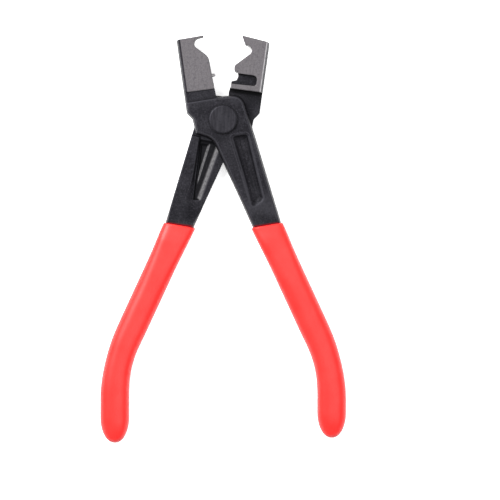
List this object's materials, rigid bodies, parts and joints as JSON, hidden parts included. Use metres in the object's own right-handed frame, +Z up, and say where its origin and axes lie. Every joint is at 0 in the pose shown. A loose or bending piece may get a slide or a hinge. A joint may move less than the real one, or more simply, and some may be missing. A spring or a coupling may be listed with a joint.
{
  "type": "collar clamp pliers",
  "caption": "Hand pliers with hooked, notched jaws for opening and closing hose collar clamps; riveted lap joint, black forged levers, red dipped grips.",
  "frame": {"origin": "where the pivot axis meets the bench, at the centre of the rivet's formed end; the tool lies flat", "axes": "+Y from the pivot towards the jaws, +Z up along the pivot axis, +X towards the handle of the upper lever"},
  "size_m": [0.109, 0.1804, 0.0121],
  "materials": {
    "black_steel": "black oxide on forged steel, jaws ground bright",
    "rivet_steel": "black oxide, brushed head",
    "pin_steel": "plain hardened pin",
    "red_vinyl": "glossy dipped vinyl"
  },
  "bodies": {
    "front_half": {"front_lever": "black_steel", "pivot_rivet": "rivet_steel", "release_pin": "pin_steel", "front_grip": "red_vinyl"},
    "rear_half": {"rear_lever": "black_steel", "rear_grip": "red_vinyl"}
  },
  "joints": [
    {"name": "jaw_pivot", "type": "hinge", "parent": "front_half", "child": "rear_half", "pos_m": [0, 0, 0.0058], "axis": [0, 0, 1], "range_deg": [-2, 25]}
  ]
}
